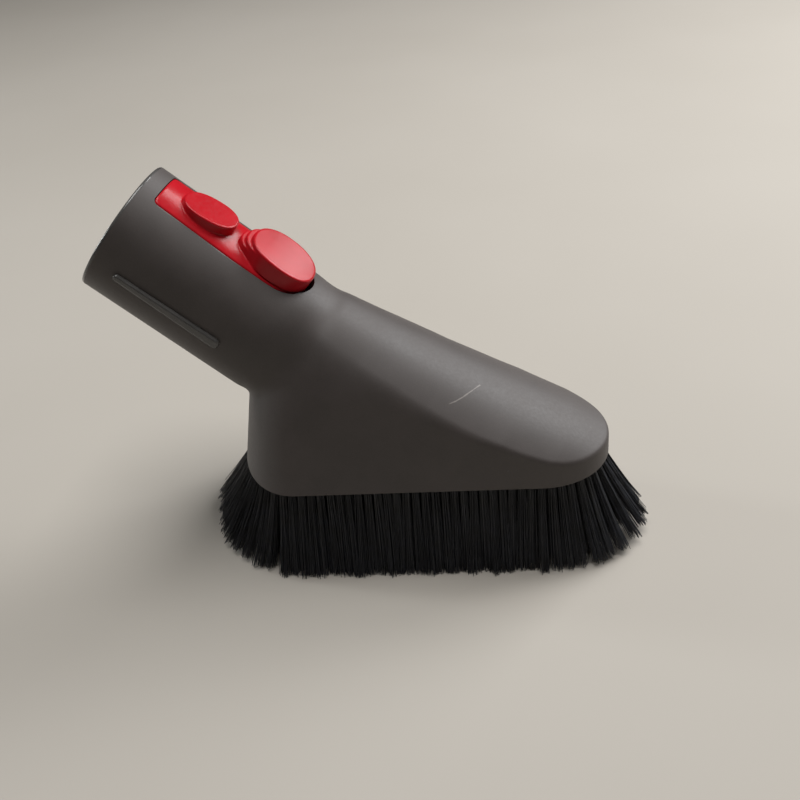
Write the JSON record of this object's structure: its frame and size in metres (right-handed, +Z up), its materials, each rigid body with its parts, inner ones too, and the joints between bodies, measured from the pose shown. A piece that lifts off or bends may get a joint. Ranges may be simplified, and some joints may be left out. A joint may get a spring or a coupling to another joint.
{
  "type": "soft dusting brush head",
  "caption": "Vacuum cleaner dusting brush: a tapered hood with a fanned ring of soft bristles and a tilted quick-release socket with a rocker latch.",
  "frame": {"origin": "on the table surface under the middle of the overall bounding box; z = 0 is the level of the bristle tips", "axes": "+Z up, +X from the socket towards the brush nose, +Y across the brush (left side seen from behind the socket)"},
  "size_m": [0.177, 0.0786, 0.1239],
  "materials": {
    "body": "fine-grained satin, warm dark grey",
    "inner": "moulded, dark grey",
    "latch": "glossy red",
    "bristle": "soft nylon filaments, black",
    "seal": "soft, dark",
    "steel": "plain"
  },
  "bodies": {
    "brush": {"body_shell": "body", "socket_liner": "inner", "liner_ring": "steel", "socket_seal": "seal", "latch_pin": "steel", "latch_spring": "steel", "brush_plate": "inner", "plate_screws": "steel", "bristles_outer_left": "bristle", "bristles_outer_right": "bristle", "bristles_outer_nose": "bristle", "bristles_outer_rear": "bristle", "bristles_inner_left": "bristle", "bristles_inner_right": "bristle", "bristles_inner_nose": "bristle", "bristles_inner_rear": "bristle"},
    "latch": {"release_latch": "latch"}
  },
  "joints": [
    {"name": "latch_pivot", "type": "hinge", "parent": "brush", "child": "latch", "pos_m": [-0.03707, 0, 0.09909], "axis": [0, 1, 0], "range_deg": [0, 6], "stiffness_Nm_per_rad": 0.12, "springref_deg": -20.05, "deforming": ["latch_spring"]}
  ]
}
